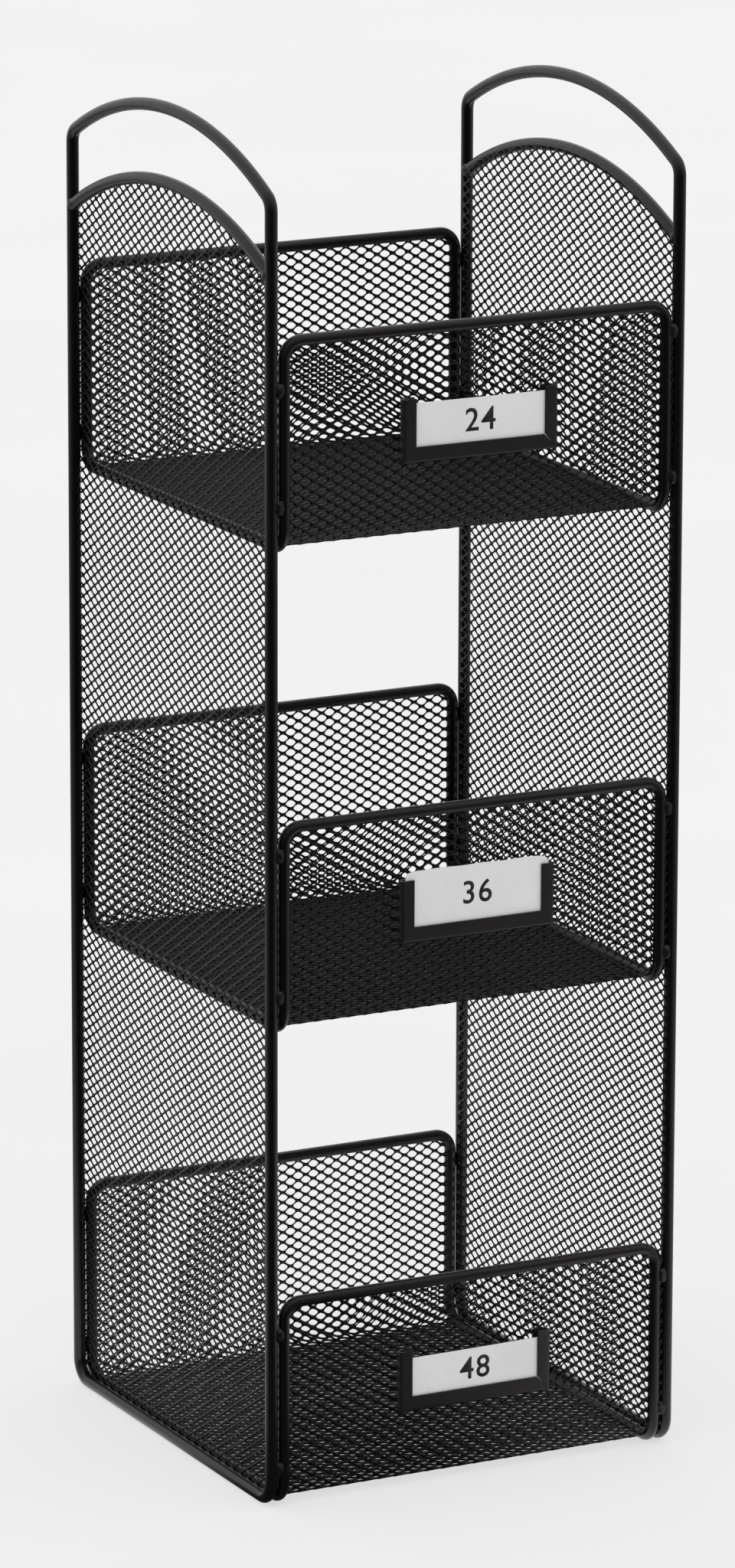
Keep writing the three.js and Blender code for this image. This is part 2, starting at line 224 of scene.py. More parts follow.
# ---------------------------------------------------------------- meshes


def make(name, verts, faces, mat, smooth=True, uv=None):
    """An object from vertices in millimetres and faces as lists of index arrays."""
    me = bpy.data.meshes.new(name)
    verts = np.asarray(verts, float) * MM
    if isinstance(faces, np.ndarray):
        faces = [faces]
    counts = np.concatenate([np.full(len(f), f.shape[1]) for f in faces])
    loops = np.concatenate([f.ravel() for f in faces]).astype(np.int32)
    starts = np.concatenate([[0], np.cumsum(counts)[:-1]]).astype(np.int32)
    me.vertices.add(len(verts))
    me.vertices.foreach_set("co", verts.astype(np.float32).ravel())
    me.loops.add(len(loops))
    me.loops.foreach_set("vertex_index", loops)
    me.polygons.add(len(counts))
    me.polygons.foreach_set("loop_start", starts)
    me.update(calc_edges=True)
    me.validate()
    me.polygons.foreach_set("use_smooth", np.full(len(me.polygons), smooth))
    me.update()
    me.materials.append(mat)
    o = bpy.data.objects.new(name, me)
    bpy.context.scene.collection.objects.link(o)
    return o


def stand_for(o, node, body="organizer"):
    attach(o, body)
    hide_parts(node)
    return o


# Stations of a wire's centre line: points and unit tangents.


def bend(centre, a, b, radius, angle, steps):
    w = np.linspace(0.0, angle, steps + 1)[:, None]
    a, b, centre = (np.asarray(v, float) for v in (a, b, centre))
    return centre + radius * (np.cos(w) * a + np.sin(w) * b), -np.sin(w) * a + np.cos(w) * b


def straight(p, q, step=16.0):
    """Stations strictly between p and q."""
    p, q = np.asarray(p, float), np.asarray(q, float)
    d = q - p
    n = max(1, int(np.linalg.norm(d) / step))
    s = np.arange(1, n)[:, None] / n
    return p + s * d, np.repeat((d / np.linalg.norm(d))[None], n - 1, 0)


def closed_chain(parts):
    """Bends joined by straight runs, as one closed chain."""
    pts, tans = [], []
    for i, (p, t) in enumerate(parts):
        nxt = parts[(i + 1) % len(parts)][0][0]
        pts.append(p)
        tans.append(t)
        if np.linalg.norm(nxt - p[-1]) > 1e-6:
            sp, st = straight(p[-1], nxt)
            pts.append(sp)
            tans.append(st)
    return np.concatenate(pts), np.concatenate(tans)


def carried_frames(tans, up):
    us = []
    u = np.asarray(up, float)
    before = tans[0]
    for t in tans:
        axis = np.cross(before, t)
        s, c = np.linalg.norm(axis), float(np.dot(before, t))
        if s > 1e-9:
            u = np.array(Matrix.Rotation(math.atan2(s, c), 3, Vector(axis / s)) @ Vector(u))
        u = u - t * np.dot(u, t)
        u /= np.linalg.norm(u)
        us.append(u)
        before = t
    return np.array(us)


def sweep(pts, tans, radii, up, closed, sides=28):
    """Vertices and quads of a round wire. The ends of an open one are closed with caps."""
    n = len(pts)
    radii = np.broadcast_to(np.asarray(radii, float), (n,))
    us = carried_frames(tans, up)
    turn = np.zeros(n)
    if closed:
        last = carried_frames(np.stack([tans[-1], tans[0]]), us[-1])[1]
        v0 = np.cross(tans[0], us[0])
        off = math.atan2(np.dot(last, v0), np.dot(last, us[0]))
        run = np.concatenate([[0], np.cumsum(np.linalg.norm(np.diff(pts, axis=0), axis=1))])
        turn = -off * run / (run[-1] + np.linalg.norm(pts[0] - pts[-1]))
    vs = np.cross(tans, us)
    a = np.arange(sides) / sides * 2 * math.pi
    ang = a[None] + turn[:, None]
    ring = (
        pts[:, None]
        + radii[:, None, None] * (np.cos(ang)[..., None] * us[:, None] + np.sin(ang)[..., None] * vs[:, None])
    )
    verts = ring.reshape(-1, 3)
    i = np.arange(n if closed else n - 1)
    j = (i + 1) % n
    k = np.arange(sides)
    l = (k + 1) % sides
    quads = np.stack(
        [
            (i[:, None] * sides + k).ravel(),
            (i[:, None] * sides + l).ravel(),
            (j[:, None] * sides + l).ravel(),
            (j[:, None] * sides + k).ravel(),
        ],
        1,
    )
    if closed:
        return verts, [quads]
    first, end = np.arange(sides)[None, ::-1], (n - 1) * sides + np.arange(sides)[None]
    return verts, [quads, first, end]


# ---------------------------------------------------------------- side frames and arches

apex_z = HEIGHT - FRAME_WIRE / 2
handle_z = apex_z - HANDLE_R
rail_z = FRAME_WIRE / 2
arch_apex = apex_z - ARCH_DROP
X, Y, Z = np.eye(3)


def arch_z(y):
    return arch_apex - ARCH_R + np.sqrt(ARCH_R**2 - np.asarray(y, float) ** 2)


def side_frame(x):
    yc = POST - HANDLE_BEND
    zc = handle_z + math.sqrt((HANDLE_R - HANDLE_BEND) ** 2 - yc**2)
    turn = math.atan2(zc - handle_z, yc)
    low = POST - RAIL_BEND

    def back(p, t):
        return p[::-1], -t[::-1]

    w = np.linspace(turn, math.pi - turn, 61)[1:-1, None]
    handle = (
        np.array([x, 0, handle_z]) + HANDLE_R * (np.cos(w) * Y + np.sin(w) * Z),
        -np.sin(w) * Y + np.cos(w) * Z,
    )
    parts = [
        bend((x, low, rail_z + RAIL_BEND), -Z, Y, RAIL_BEND, math.pi / 2, 14),
        bend((x, yc, zc), Y, Z, HANDLE_BEND, turn, 10),
        handle,
        back(*bend((x, -yc, zc), -Y, Z, HANDLE_BEND, turn, 10)),
        back(*bend((x, -low, rail_z + RAIL_BEND), -Z, -Y, RAIL_BEND, math.pi / 2, 14)),
    ]
    pts, tans = closed_chain(parts)
    return sweep(pts, tans, FRAME_WIRE / 2, X, True, 32)


def lumpy(p, size, seed):
    """A smooth random number for each point, about -1 to 1."""
    r = np.random.default_rng(seed)
    f = np.zeros(len(p))
    for _ in range(7):
        k = r.normal(size=3)
        k *= 2 * math.pi / (size * np.linalg.norm(k)) * r.uniform(0.6, 1.5)
        f += np.sin(p @ k + r.uniform(0, 6.28)) / math.sqrt(7)
    return f


def lower_arch(x, seed):
    """The arch runs into the posts, with a swollen weld at each end."""
    half = math.asin((POST + 0.6) / ARCH_R)
    ends = np.linspace(0, math.asin(8.0 / ARCH_R), 17)
    w = np.concatenate([-half + ends, np.linspace(-half + ends[-1], half - ends[-1], 53)[1:-1], (half - ends)[::-1]])[
        :, None
    ]
    pts = np.array([x, 0, arch_apex - ARCH_R]) + ARCH_R * (np.sin(w) * Y + np.cos(w) * Z)
    tans = np.cos(w) * Y - np.sin(w) * Z
    y = np.abs(pts[:, 1])
    r = FRAME_WIRE / 2 + 0.0 * y
    y = y - (POST - 1.5)
    r += 0.34 * np.exp(-((y / np.where(y < 0, 1.0, 1.6)) ** 2))
    r -= 0.9 * np.clip((y - 0.9) / 1.2, 0, 1) ** 1.5
    verts, faces = sweep(pts, tans, r, X, False, 32)
    near = np.clip((np.abs(verts[:, 1]) - POST + 4.2) / 1.6, 0, 1)
    out = verts - np.repeat(pts, 32, 0)
    out /= np.linalg.norm(out, axis=1)[:, None]
    verts = verts + out * (near * 0.10 * lumpy(verts, 2.6, seed))[:, None]
    return verts, faces


for side, sx, seed in (("left", -1, 41), ("right", 1, 42)):
    o = make(f"{side}_side_frame_wire", *side_frame(sx * POST), WIRE)
    stand_for(o, f"{side}_side_frame")
    o = make(f"{side}_lower_arch_wire", *lower_arch(sx * POST, seed), WIRE)
    stand_for(o, f"{side}_lower_arch")

# ---------------------------------------------------------------- expanded metal


def hole_outline(size):
    """Twelve points of a diamond hole with well rounded corners, anticlockwise, three at each corner."""
    w = np.radians(np.arange(-30, 330, 30))
    c, d = np.cos(w), np.sin(w)
    power = 2 / HOLE_FULL
    return np.stack(
        [
            size * MESH_L / 2 * np.sign(c) * np.abs(c) ** power,
            size * MESH_S / 2 * np.sign(d) * np.abs(d) ** power,
        ],
        1,
    )


def expanded(u0, u1, v0, v1, strand, shift):
    """A flat sheet of expanded metal over a rectangle, closed all round: vertices (u, v, n) and triangles.
    Strands have a crest on each side, run between knuckles, and lean, as the slitting leaves them."""
    L, S = MESH_L, MESH_S
    size, h, slope = strand
    hole = hole_outline(size)
    m = len(hole)
    j0, j1 = math.floor((v0 - shift[1]) / (S / 2)) - 1, math.ceil((v1 - shift[1]) / (S / 2)) + 1
    i0, i1 = math.floor((u0 - shift[0]) / L) - 1, math.ceil((u1 - shift[0]) / L) + 1
    ii, jj = np.meshgrid(np.arange(i0, i1 + 1), np.arange(j0, j1 + 1), indexing="ij")
    ii, jj = ii.ravel(), jj.ravel()
    ca, cb = 2 * ii + (jj % 2), jj  # cell centres in half pitches
    n = len(ca)

    a0, b0 = ca.min() - 1, cb.min() - 1
    wide, tall = ca.max() + 2 - a0, cb.max() + 2 - b0
    corner = np.stack([(ca + 1, cb), (ca, cb + 1), (ca - 1, cb), (ca, cb - 1)])  # right, top, left, bottom
    key = (corner[:, 0] - a0) * tall + (corner[:, 1] - b0)
    used, number = np.unique(key, return_inverse=True)
    number = number.reshape(4, n)
    lattice = np.stack([(used // tall + a0) * L / 2 + shift[0], (used % tall + b0) * S / 2 + shift[1]], 1)
    nl = len(used)

    centre = np.stack([ca * L / 2 + shift[0], cb * S / 2 + shift[1]], 1)
    rim = (centre[:, None] + hole[None]).reshape(-1, 2)
    lean = np.tile(-slope * hole[:, 1] / hole[:, 1].max(), n)
    verts = np.concatenate(
        [
            np.column_stack([lattice, np.full(nl, h)]),
            np.column_stack([lattice, np.full(nl, -h)]),
            np.column_stack([rim, lean]),
        ]
    )
    ring = 2 * nl + np.arange(n)[:, None] * m + np.arange(m)[None]

    tris = []
    for c in range(4):
        k, nxt = number[c], number[(c + 1) % 4]
        minus, tip, plus = ring[:, 3 * c], ring[:, 3 * c + 1], ring[:, 3 * c + 2]
        after = ring[:, (3 * c + 3) % m]
        for low in (False, True):
            p, q = (k + nl, nxt + nl) if low else (k, nxt)
            four = [(p, plus, tip), (p, tip, minus), (p, q, after), (p, after, plus)]
            for t in four:
                tris.append(np.stack(t[::-1] if low else t, 1))
    # walls where no neighbour continues the sheet
    start, stop = number.ravel(), np.roll(number, -1, 0).ravel()
    there = set(zip(start.tolist(), stop.tolist()))
    edge = np.array([(p, q) for p, q in zip(start.tolist(), stop.tolist()) if (q, p) not in there])
    p, q = edge[:, 0], edge[:, 1]
    tris.append(np.stack([q, p, p + nl], 1))
    tris.append(np.stack([q, p + nl, q + nl], 1))
    return verts, np.concatenate(tris)


def cut_to(name, sheet, outline):
    """The sheet inside an outline: vertices, faces as index arrays by corner count, and which faces are cut edges."""
    depth = 3.0
    o = make(f"{name}_blank", *sheet, MESH)
    k = len(outline)
    pv = np.concatenate([np.column_stack([outline, np.full(k, -depth)]), np.column_stack([outline, np.full(k, depth)])])
    r = np.arange(k)
    walls = np.stack([r, (r + 1) % k, (r + 1) % k + k, r + k], 1)
    c = make(f"{name}_cutter", pv, [walls, r[None, ::-1], r[None] + k], MESH)
    b = o.modifiers.new("cut", "BOOLEAN")
    b.operation = "INTERSECT"
    b.solver = "MANIFOLD"
    b.object = c
    got = bpy.data.meshes.new_from_object(o.evaluated_get(bpy.context.evaluated_depsgraph_get()))
    nv, nf, nl = len(got.vertices), len(got.polygons), len(got.loops)
    co = np.zeros(nv * 3, np.float32)
    got.vertices.foreach_get("co", co)
    start, total, loop = np.zeros(nf, np.int32), np.zeros(nf, np.int32), np.zeros(nl, np.int32)
    got.polygons.foreach_get("loop_start", start)
    got.polygons.foreach_get("loop_total", total)
    got.loops.foreach_get("vertex_index", loop)
    normal = np.zeros(nf * 3, np.float32)
    got.polygons.foreach_get("normal", normal)
    for mesh, thing in ((o.data, o), (c.data, c)):
        bpy.data.objects.remove(thing)
        bpy.data.meshes.remove(mesh)
    bpy.data.meshes.remove(got)
    verts = co.reshape(-1, 3).astype(float) / MM
    normal = normal.reshape(-1, 3)
    faces, tilt = [], []
    for size in np.unique(total):
        pick = np.flatnonzero(total == size)
        faces.append(loop[start[pick][:, None] + np.arange(size)])
        tilt.append(normal[pick, 2])
    return verts, faces, np.concatenate(tilt)


def expanded_piece(name, flat, faces, tilt, place):
    """The finished piece: the flat sheet put in place, cut edges left crisp, and a map with one field for each side."""
    o = make(name, place(flat), faces, MESH)
    me = o.data
    if len(me.polygons) == len(tilt):
        smooth = np.abs(tilt) > 1e-3
        me.polygons.foreach_set("use_smooth", smooth)
        loop = np.zeros(len(me.loops), np.int32)
        me.loops.foreach_get("vertex_index", loop)
        lo, hi = flat[:, :2].min(0), flat[:, :2].max(0)
        size = hi - lo
        scale = 0.98 / max(2 * size[0] + 4, size[1])
        uv = (flat[loop, :2] - lo) * scale + 0.01
        total = np.zeros(len(me.polygons), np.int32)
        me.polygons.foreach_get("loop_total", total)
        under = np.repeat(tilt < 0, total)
        uv[under, 0] += (size[0] + 4) * scale
        layer = me.uv_layers.new(name="OFBake")
        layer.data.foreach_set("uv", uv.astype(np.float32).ravel())
    me.update()
    return o


def panel_outline(middle):
    b, c = PANEL_HALF, PANEL_CORNER
    w = np.linspace(-math.pi / 2, 0, 9)
    right = np.stack([b - c + c * np.cos(w), PANEL_BOTTOM + c + c * np.sin(w)], 1)
    y = np.linspace(b, -b, 81)
    top = np.stack([y, arch_z(y + middle) - PANEL_UNDER_ARCH], 1)
    left = right[::-1] * (-1, 1)
    return np.concatenate([right, top, left])


for side, sx in (("left", -1), ("right", 1)):
    shift = (1.10, 1.13) if sx < 0 else (1.10, 0.52)
    sheet = expanded(-PANEL_HALF, PANEL_HALF, 0, arch_apex + 2, PANEL_MESH, shift)
    flat, faces, tilt = cut_to(side, sheet, panel_outline(PANEL_Y[side]))

    def upright(p, x=sx * PANEL_X, y=PANEL_Y[side]):
        # u is along Y, v is up and n points along X
        return np.column_stack([x + p[:, 2], y + p[:, 0], p[:, 1]])

    o = expanded_piece(f"{side}_mesh_panel_sheet", flat, faces, tilt, upright)
    stand_for(o, f"{side}_mesh_panel")

# ---------------------------------------------------------------- trays


def tray_frame(z0):
    r = TRAY_WIRE / 2
    q = math.pi / 2
    xr, zr = TRAY_X - RIM_BEND, TRAY_H - r - RIM_BEND + z0
    yf, zf = TRAY_Y - FOOT_BEND, r + FOOT_BEND + z0
    parts = [
        bend((xr, -TRAY_Y, zr), Z, X, RIM_BEND, q, 14),
        bend((TRAY_X, -yf, zf), -Y, -Z, FOOT_BEND, q, 14),
        bend((TRAY_X, yf, zf), -Z, Y, FOOT_BEND, q, 14),
        bend((xr, TRAY_Y, zr), X, Z, RIM_BEND, q, 14),
        bend((-xr, TRAY_Y, zr), Z, -X, RIM_BEND, q, 14),
        bend((-TRAY_X, yf, zf), Y, -Z, FOOT_BEND, q, 14),
        bend((-TRAY_X, -yf, zf), -Z, -Y, FOOT_BEND, q, 14),
        bend((-xr, -TRAY_Y, zr), -X, Z, RIM_BEND, q, 14),
    ]
    pts, tans = closed_chain(parts)
    return sweep(pts, tans, r, Y, True, 28)


SHEET_IN = TRAY_X - 0.85  # the sheet's edges run into the wires
SHEET_UP = 69.4
SHEET_ROUND = 5.2
wall = SHEET_UP - SHEET_FLOOR - SHEET_FOLD
arc = SHEET_FOLD * math.pi / 2
floor = 2 * (SHEET_Y - SHEET_FOLD)
around = 2 * wall + 2 * arc + floor


def folded(p):
    """(u, v, n) of the flat sheet to the folded one: v runs down the front wall, along the floor and up the back."""
    u, v, n = p.T
    y, z = np.zeros_like(v), np.zeros_like(v)
    yc, zc = SHEET_Y - SHEET_FOLD, SHEET_FLOOR + SHEET_FOLD
    R = SHEET_FOLD + n
    a = v < wall
    y[a], z[a] = -SHEET_Y - n[a], SHEET_UP - v[a]
    b = (v >= wall) & (v < wall + arc)
    w = (v[b] - wall) / SHEET_FOLD
    y[b], z[b] = -yc - R[b] * np.cos(w), zc - R[b] * np.sin(w)
    c = (v >= wall + arc) & (v < wall + arc + floor)
    y[c], z[c] = -yc + (v[c] - wall - arc), SHEET_FLOOR - n[c]
    d = (v >= wall + arc + floor) & (v < wall + 2 * arc + floor)
    w = (v[d] - wall - arc - floor) / SHEET_FOLD
    y[d], z[d] = yc + R[d] * np.sin(w), zc - R[d] * np.cos(w)
    e = v >= wall + 2 * arc + floor
    y[e], z[e] = SHEET_Y + n[e], zc + (v[e] - wall - 2 * arc - floor)
    return np.column_stack([u, y, z])


def sheet_outline():
    w = np.linspace(0, math.pi / 2, 9)
    r = SHEET_ROUND
    pts = []
    for cx, cy, a in (
        (SHEET_IN - r, r, -math.pi / 2),
        (SHEET_IN - r, around - r, 0.0),
        (-SHEET_IN + r, around - r, math.pi / 2),
        (-SHEET_IN + r, r, math.pi),
    ):
        pts.append(np.stack([cx + r * np.cos(a + w), cy + r * np.sin(a + w)], 1))
    return np.concatenate(pts)


def slug(sx, sy, z, seed):
    """A weld slug in the valley between post and upright, melted onto both."""
    n = 15
    g = np.linspace(-1, 1, n)
    verts, faces = [], []
    for axis in range(3):
        for s in (-1, 1):
            a, b = np.meshgrid(g, g, indexing="ij")
            p = np.zeros((n, n, 3))
            p[..., axis] = s
            p[..., (axis + 1) % 3], p[..., (axis + 2) % 3] = (a, b) if s > 0 else (b, a)
            base = sum(len(v) for v in verts)
            verts.append(np.tan(p.reshape(-1, 3) * math.pi / 4))
            i, j = np.meshgrid(np.arange(n - 1), np.arange(n - 1), indexing="ij")
            i, j = i.ravel(), j.ravel()
            faces.append(base + np.stack([i * n + j, (i + 1) * n + j, (i + 1) * n + j + 1, i * n + j + 1], 1))
    d = np.concatenate(verts)
    d /= np.linalg.norm(d, axis=1)[:, None]
    quads = np.concatenate(faces)
    where, same = np.unique(np.round(d, 6), axis=0, return_inverse=True)
    d, quads = where, same.ravel()[quads]
    d /= np.linalg.norm(d, axis=1)[:, None]

    rng = np.random.default_rng(seed)
    ax, ay, az = 0.98 + rng.uniform(-0.10, 0.08), 1.25 + rng.uniform(-0.12, 0.06), SLUG_H / 2 - rng.uniform(0.0, 0.3)
    block = (np.abs(d[:, 0] / ax) ** 4.6 + np.abs(d[:, 1] / ay) ** 4.6 + np.abs(d[:, 2] / az) ** 4.6) ** (-1 / 4.6)
    melt = (np.abs(d[:, 0] / 2.0) ** 2.6 + np.abs(d[:, 1] / 0.66) ** 2.6 + np.abs(d[:, 2] / 2.5) ** 2.6) ** (-1 / 2.6)
    r = np.logaddexp(9 * block, 9 * melt) / 9
    p = d * r[:, None]
    p += d * (0.10 * lumpy(p, 1.9, seed + 1))[:, None]
    lean = rng.uniform(-0.08, 0.08)
    p[:, 0] += lean * p[:, 2]
    p = p * (1, sy, 1) + (sx * SLUG_X, sy * (SLUG_OUT - 1.3), z)
    if sy < 0:
        quads = quads[:, ::-1]
    return p, quads


rim_of_sheet = sheet_outline()
flat_tray, tray_faces, tray_tilt = cut_to(
    "tray", expanded(-SHEET_IN, SHEET_IN, 0, around, TRAY_MESH, (0.83, 0.61)), rim_of_sheet
)

seed = 100
for level in LEVELS:
    z0 = TRAY_Z[level]
    o = make(f"{level}_tray_frame_wire", *tray_frame(z0), WIRE)
    stand_for(o, f"{level}_tray_frame")

    o = expanded_piece(
        f"{level}_tray_mesh_sheet", flat_tray, tray_faces, tray_tilt, lambda p: folded(p) + (0, 0, z0)
    )
    stand_for(o, f"{level}_tray_mesh")

    for corner, heights in SLUG_Z[level].items():
        sx = -1 if corner.endswith("left") else 1
        sy = -1 if corner.startswith("front") else 1
        for place, h in zip(("lower", "upper"), heights):
            seed += 7
            node = f"{level}_weld_{corner}_{place}"
            o = make(f"{node}_slug", *slug(sx, sy, z0 + h, seed), WELD)
            stand_for(o, node)

# ---------------------------------------------------------------- label holders

FOLD = 0.95  # outer radius of the folds


def channel_profile(flange, inward):
    """Section of one folded side, from the free edge of the flange round to the back plate: (d, y) with d measured
    inwards from the outer face of the wall, as a closed anticlockwise-or-clockwise ring of points."""
    t, R = HOLDER_T, FOLD
    yf, yb = HOLDER_FRONT, HOLDER_BACK
    w = np.linspace(0, math.pi / 2, 7)
    outer = [(flange - 0.22, yf)]
    outer += [(R - R * math.sin(a), yf + R - R * math.cos(a)) for a in w]
    outer += [(R - R * math.cos(a), yb - R + R * math.sin(a)) for a in w]
    outer += [(inward, yb)]
    r = R - t
    inner = [(inward, yb - t)]
    inner += [(R - r * math.cos(a), yb - R + r * math.sin(a)) for a in w[::-1]]
    inner += [(R - r * math.sin(a), yf + R - r * math.cos(a)) for a in w[::-1]]
    inner += [(flange - 0.22, yf + t), (flange - 0.04, yf + t - 0.16), (flange, yf + t / 2), (flange - 0.04, yf + 0.16)]
    return np.array(outer + inner)


def loft(a, b):
    """A closed solid between two rings of points."""
    k = len(a)
    r = np.arange(k)
    side = np.stack([r, (r + 1) % k, (r + 1) % k + k, r + k], 1)
    return np.concatenate([a, b]), [side, r[None, ::-1], r[None] + k]


def union(name, solids, mat):
    """One closed body out of overlapping ones."""
    objs = [make(f"{name}_{i}", v, f, mat, smooth=False) for i, (v, f) in enumerate(solids)]
    for o in objs:
        bpy.context.view_layer.update()
    first = objs[0]
    for o in objs:
        # outward normals, whichever way round the ring was given
        bm = bmesh.new()
        bm.from_mesh(o.data)
        bmesh.ops.recalc_face_normals(bm, faces=bm.faces)
        bmesh.ops.triangulate(bm, faces=bm.faces)
        bm.to_mesh(o.data)
        bm.free()
    for o in objs[1:]:
        m = first.modifiers.new("join", "BOOLEAN")
        m.operation = "UNION"
        m.solver = "MANIFOLD"
        m.object = o
    me = bpy.data.meshes.new_from_object(first.evaluated_get(bpy.context.evaluated_depsgraph_get()))
    me.name = name
    for o in objs:
        old = o.data
        bpy.data.objects.remove(o)
        bpy.data.meshes.remove(old)
    me.materials.clear()
    me.materials.append(mat)
    o = bpy.data.objects.new(name, me)
    bpy.context.scene.collection.objects.link(o)
    me.polygons.foreach_set("use_smooth", np.full(len(me.polygons), True))
    me.set_sharp_from_angle(angle=math.radians(38))
    me.update()
    return o


def holder(name, z0, slit_left, slit_right):
    w = HOLDER_W / 2
    bottom, top = z0 + HOLDER_Z, z0 + HOLDER_Z + HOLDER_H
    inward = 9.0
    solids = []
    for side, slit in ((-1, slit_left), (1, slit_right)):
        ring = channel_profile(FLANGE_SIDE, HOLDER_LIP)
        d, y = ring.T
        x = side * (w - d)
        # mitred against the bottom channel at 45 degrees, the flange a little short of it
        front = np.clip((HOLDER_BACK - HOLDER_T - 0.3 - y) / 1.2, 0, 1)
        mitre = bottom + d * (FLANGE_BOTTOM / FLANGE_SIDE) + front * np.clip((d - 0.9) / 0.6, 0, 1) * slit * 0.7
        solids.append(loft(np.column_stack([x, y, mitre]), np.column_stack([x, y, np.full(len(d), top)])))
    ring = channel_profile(FLANGE_BOTTOM, inward)
    d, y = ring.T
    front = np.clip((HOLDER_BACK - HOLDER_T - 0.3 - y) / 1.2, 0, 1) * np.clip((d - 0.9) / 0.6, 0, 1)
    reach = d * (FLANGE_SIDE / FLANGE_BOTTOM)
    z = bottom + d
    # a hair of overlap at the corners, except at the open mitre of the flanges
    left = -w + reach + front * slit_left * 0.7 - (1 - front) * 0.02
    right = w - reach - front * slit_right * 0.7 + (1 - front) * 0.02
    solids.append(loft(np.column_stack([left, y, z]), np.column_stack([right, y, z])))
    yb, t = HOLDER_BACK - 0.03, HOLDER_T - 0.06
    # the plate between the channels stops behind the card
    c = np.array([(-w + 2.5, yb), (w - 2.5, yb), (w - 2.5, yb - t), (-w + 2.5, yb - t)])
    solids.append(
        loft(
            np.column_stack([c, np.full(4, bottom + 5.0)]),
            np.column_stack([c, np.full(4, top - PLATE_CUT)]),
        )
    )
    return union(name, solids, FOLDED)


SLITS = {"bottom": (0.10, 0.50), "middle": (0.10, 0.10), "top": (0.10, 0.55)}
for level in LEVELS:
    o = holder(f"{level}_label_holder_sheet", TRAY_Z[level], *SLITS[level])
    stand_for(o, f"{level}_label_holder")

# ---------------------------------------------------------------- label cards


def card_shape(level):
    """Depth and small drifts of a card's middle surface at (x, z), z measured from its lower edge."""
    half, h = CARD_W / 2, CARD_H[level]
    tilt = {"bottom": 0.009, "middle": -0.004, "top": 0.0}[level]

    def place(x, z, off):
        s = z / h
        y = CARD_Y - 0.30 * (1 - (x / half) ** 2) * (0.4 + 0.6 * s) + off
        zz = z + tilt * x * s
        xx = x.copy()
        if level == "middle":
            # bent corners above the holder
            for sx, cut, back in ((-1, 5.0, 0.08), (1, 4.2, 0.06)):
                k = np.clip(((sx * x - half) + (z - h) + cut) / cut, 0, 1)
                y = y + back * k**1.5
                zz = zz - 0.95 * k**1.6
                xx = xx - sx * 0.75 * k**1.6
            zz = zz + 0.10 * s**6 * np.sin(x * 0.41 + 0.8)
        return xx, y, zz

    return place


def card(level):
    nx, nz = 64, 28
    half, h = CARD_W / 2, CARD_H[level]
    place = card_shape(level)
    x, z = np.meshgrid(np.linspace(-half, half, nx), np.linspace(0, h, nz), indexing="ij")
    x, z = x.ravel(), z.ravel()
    # corners of the cut card are very slightly rounded
    r = 0.7
    for sx in (-1, 1):
        for top in (False, True):
            dx, dz = sx * x - (half - r), (z - (h - r)) if top else (r - z)
            m = (dx > 0) & (dz > 0)
            big = np.maximum(dx[m], dz[m])
            length = np.hypot(dx[m], dz[m])
            f = np.where(length > 1e-9, big / np.maximum(length, 1e-9), 1.0)
            x[m] = sx * ((half - r) + dx[m] * f)
            z[m] = (h - r) + dz[m] * f if top else r - dz[m] * f
    low = TRAY_Z[level] + HOLDER_Z + CARD_LIFT
    front = np.column_stack(place(x, z, -CARD_T / 2)) + (0, 0, low)
    rear = np.column_stack(place(x, z, CARD_T / 2)) + (0, 0, low)
    n = nx * nz
    i, j = np.meshgrid(np.arange(nx - 1), np.arange(nz - 1), indexing="ij")
    i, j = i.ravel(), j.ravel()
    f = np.stack([i * nz + j, (i + 1) * nz + j, (i + 1) * nz + j + 1, i * nz + j + 1], 1)
    b = f[:, ::-1] + n
    loop = np.concatenate(
        [
            np.arange(nx) * nz,
            (nx - 1) * nz + np.arange(1, nz),
            (np.arange(nx - 1)[::-1]) * nz + nz - 1,
            np.arange(1, nz - 1)[::-1],
        ]
    )
    nxt = np.roll(loop, -1)
    rim = np.stack([loop, loop + n, nxt + n, nxt], 1)
    o = make(f"{level}_label_card_paper", np.concatenate([front, rear]), [f, b, rim], CARD)
    o.data.set_sharp_from_angle(angle=math.radians(50))
    return o


